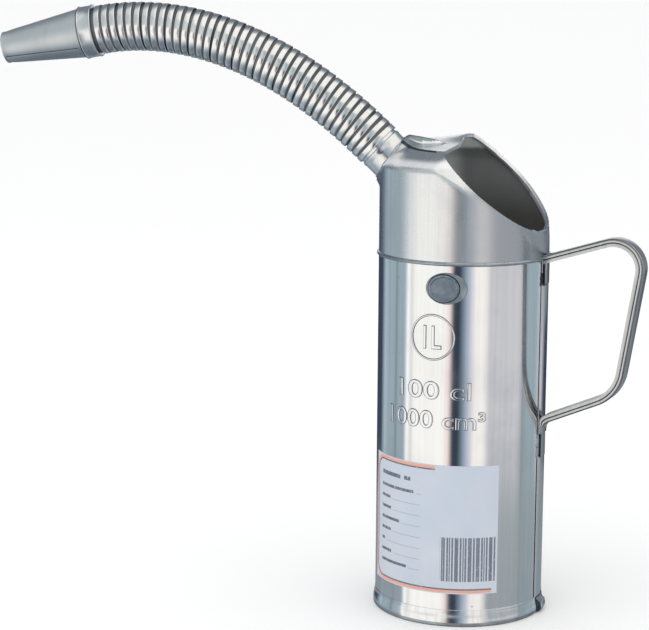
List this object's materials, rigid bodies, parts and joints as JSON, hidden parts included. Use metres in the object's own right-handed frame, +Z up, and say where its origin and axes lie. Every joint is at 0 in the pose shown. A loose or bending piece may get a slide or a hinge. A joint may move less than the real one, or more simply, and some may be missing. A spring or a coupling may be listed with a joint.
{
  "type": "oil measuring jug",
  "caption": "Tinplate oil measuring jug with a slanted filling mouth, a strip handle and a bendable ribbed metal spout that ends in a tapered nozzle.",
  "frame": {"origin": "centre of the flat underside of the base, where the jug stands", "axes": "+Z up along the jug's axis, +X towards the handle, spout towards -X, capacity ring at the front facing -Y"},
  "size_m": [0.329, 0.1097, 0.3068],
  "materials": {
    "bright_tinplate": "bright tinned sheet with soft upright streaks",
    "base_tinplate": "tinned sheet, slightly dull",
    "satin_tinplate": "satin tinned sheet",
    "ferrule_steel": "smooth tinned band",
    "soft_solder": "wiped soft solder",
    "spout_steel": "bright plated strip",
    "collar_steel": "rolled tinned band",
    "nozzle_tinplate": "dull tinned sheet",
    "handle_tinplate": "bright folded strip",
    "seal_lead": "dull grey solder disc",
    "label_paper": "coated white paper with a thin printed border"
  },
  "bodies": {
    "jug": {"body_shell": "bright_tinplate", "base_pan": "base_tinplate", "hood": "satin_tinplate", "neck_ferrule": "ferrule_steel", "neck_solder": "soft_solder", "handle_strip": "handle_tinplate", "handle_top_solder": "soft_solder", "handle_low_solder": "soft_solder", "solder_seal": "seal_lead", "paper_label": "label_paper"},
    "link_01": {"spout_link_01": "spout_steel"},
    "link_02": {"spout_link_02": "spout_steel"},
    "link_03": {"spout_link_03": "spout_steel"},
    "link_04": {"spout_link_04": "spout_steel"},
    "link_05": {"spout_link_05": "spout_steel"},
    "link_06": {"spout_link_06": "spout_steel"},
    "link_07": {"spout_link_07": "spout_steel"},
    "link_08": {"spout_link_08": "spout_steel"},
    "link_09": {"spout_link_09": "spout_steel"},
    "link_10": {"spout_link_10": "spout_steel"},
    "link_11": {"spout_link_11": "spout_steel"},
    "link_12": {"spout_link_12": "spout_steel"},
    "link_13": {"spout_link_13": "spout_steel", "nozzle_collar": "collar_steel", "nozzle_cone": "nozzle_tinplate"}
  },
  "joints": [
    {"name": "spout_bend", "type": "hinge", "parent": "jug", "child": "link_01", "pos_m": [-0.04254, -0.01061, 0.23607], "axis": [0.2419, -0.9703, 0], "range_deg": [-5, 3]},
    {"name": "spout_bend_02", "type": "hinge", "parent": "link_01", "child": "link_02", "pos_m": [-0.05143, -0.01282, 0.2445], "axis": [0.2419, -0.9703, 0], "range_deg": [-5, 3]},
    {"name": "spout_sway", "type": "hinge", "parent": "link_02", "child": "link_03", "pos_m": [-0.06066, -0.01512, 0.25254], "axis": [0.6102, 0.1521, 0.7775], "range_deg": [-5, 5]},
    {"name": "spout_bend_03", "type": "hinge", "parent": "link_03", "child": "link_04", "pos_m": [-0.07024, -0.01751, 0.26012], "axis": [0.2419, -0.9703, 0], "range_deg": [-5, 3]},
    {"name": "spout_bend_04", "type": "hinge", "parent": "link_04", "child": "link_05", "pos_m": [-0.08019, -0.01999, 0.26717], "axis": [0.2419, -0.9703, 0], "range_deg": [-5, 3]},
    {"name": "spout_bend_05", "type": "hinge", "parent": "link_05", "child": "link_06", "pos_m": [-0.09053, -0.02257, 0.27361], "axis": [0.2419, -0.9703, 0], "range_deg": [-5, 3]},
    {"name": "spout_sway_2", "type": "hinge", "parent": "link_06", "child": "link_07", "pos_m": [-0.10125, -0.02524, 0.27935], "axis": [0.4177, 0.1042, 0.9026], "range_deg": [-5, 5]},
    {"name": "spout_bend_06", "type": "hinge", "parent": "link_07", "child": "link_08", "pos_m": [-0.11233, -0.02801, 0.28429], "axis": [0.2419, -0.9703, 0], "range_deg": [-5, 3]},
    {"name": "spout_bend_07", "type": "hinge", "parent": "link_08", "child": "link_09", "pos_m": [-0.12375, -0.03085, 0.28835], "axis": [0.2419, -0.9703, 0], "range_deg": [-5, 3]},
    {"name": "spout_bend_08", "type": "hinge", "parent": "link_09", "child": "link_10", "pos_m": [-0.13545, -0.03377, 0.29143], "axis": [0.2419, -0.9703, 0], "range_deg": [-5, 3]},
    {"name": "spout_sway_3", "type": "hinge", "parent": "link_10", "child": "link_11", "pos_m": [-0.14737, -0.03674, 0.29344], "axis": [0.1132, 0.0282, 0.9932], "range_deg": [-5, 5]},
    {"name": "spout_bend_09", "type": "hinge", "parent": "link_11", "child": "link_12", "pos_m": [-0.15941, -0.03975, 0.29429], "axis": [0.2419, -0.9703, 0], "range_deg": [-5, 3]},
    {"name": "spout_bend_10", "type": "hinge", "parent": "link_12", "child": "link_13", "pos_m": [-0.17148, -0.04276, 0.29391], "axis": [0.2419, -0.9703, 0], "range_deg": [-5, 3]}
  ],
  "couplings": [
    {"joint": "spout_bend_02", "follows": "spout_bend", "ratio": 1},
    {"joint": "spout_bend_03", "follows": "spout_bend", "ratio": 1},
    {"joint": "spout_bend_04", "follows": "spout_bend", "ratio": 1},
    {"joint": "spout_bend_05", "follows": "spout_bend", "ratio": 1},
    {"joint": "spout_bend_06", "follows": "spout_bend", "ratio": 1},
    {"joint": "spout_bend_07", "follows": "spout_bend", "ratio": 1},
    {"joint": "spout_bend_08", "follows": "spout_bend", "ratio": 1},
    {"joint": "spout_bend_09", "follows": "spout_bend", "ratio": 1},
    {"joint": "spout_bend_10", "follows": "spout_bend", "ratio": 1},
    {"joint": "spout_sway_2", "follows": "spout_sway", "ratio": 1},
    {"joint": "spout_sway_3", "follows": "spout_sway", "ratio": 1}
  ]
}
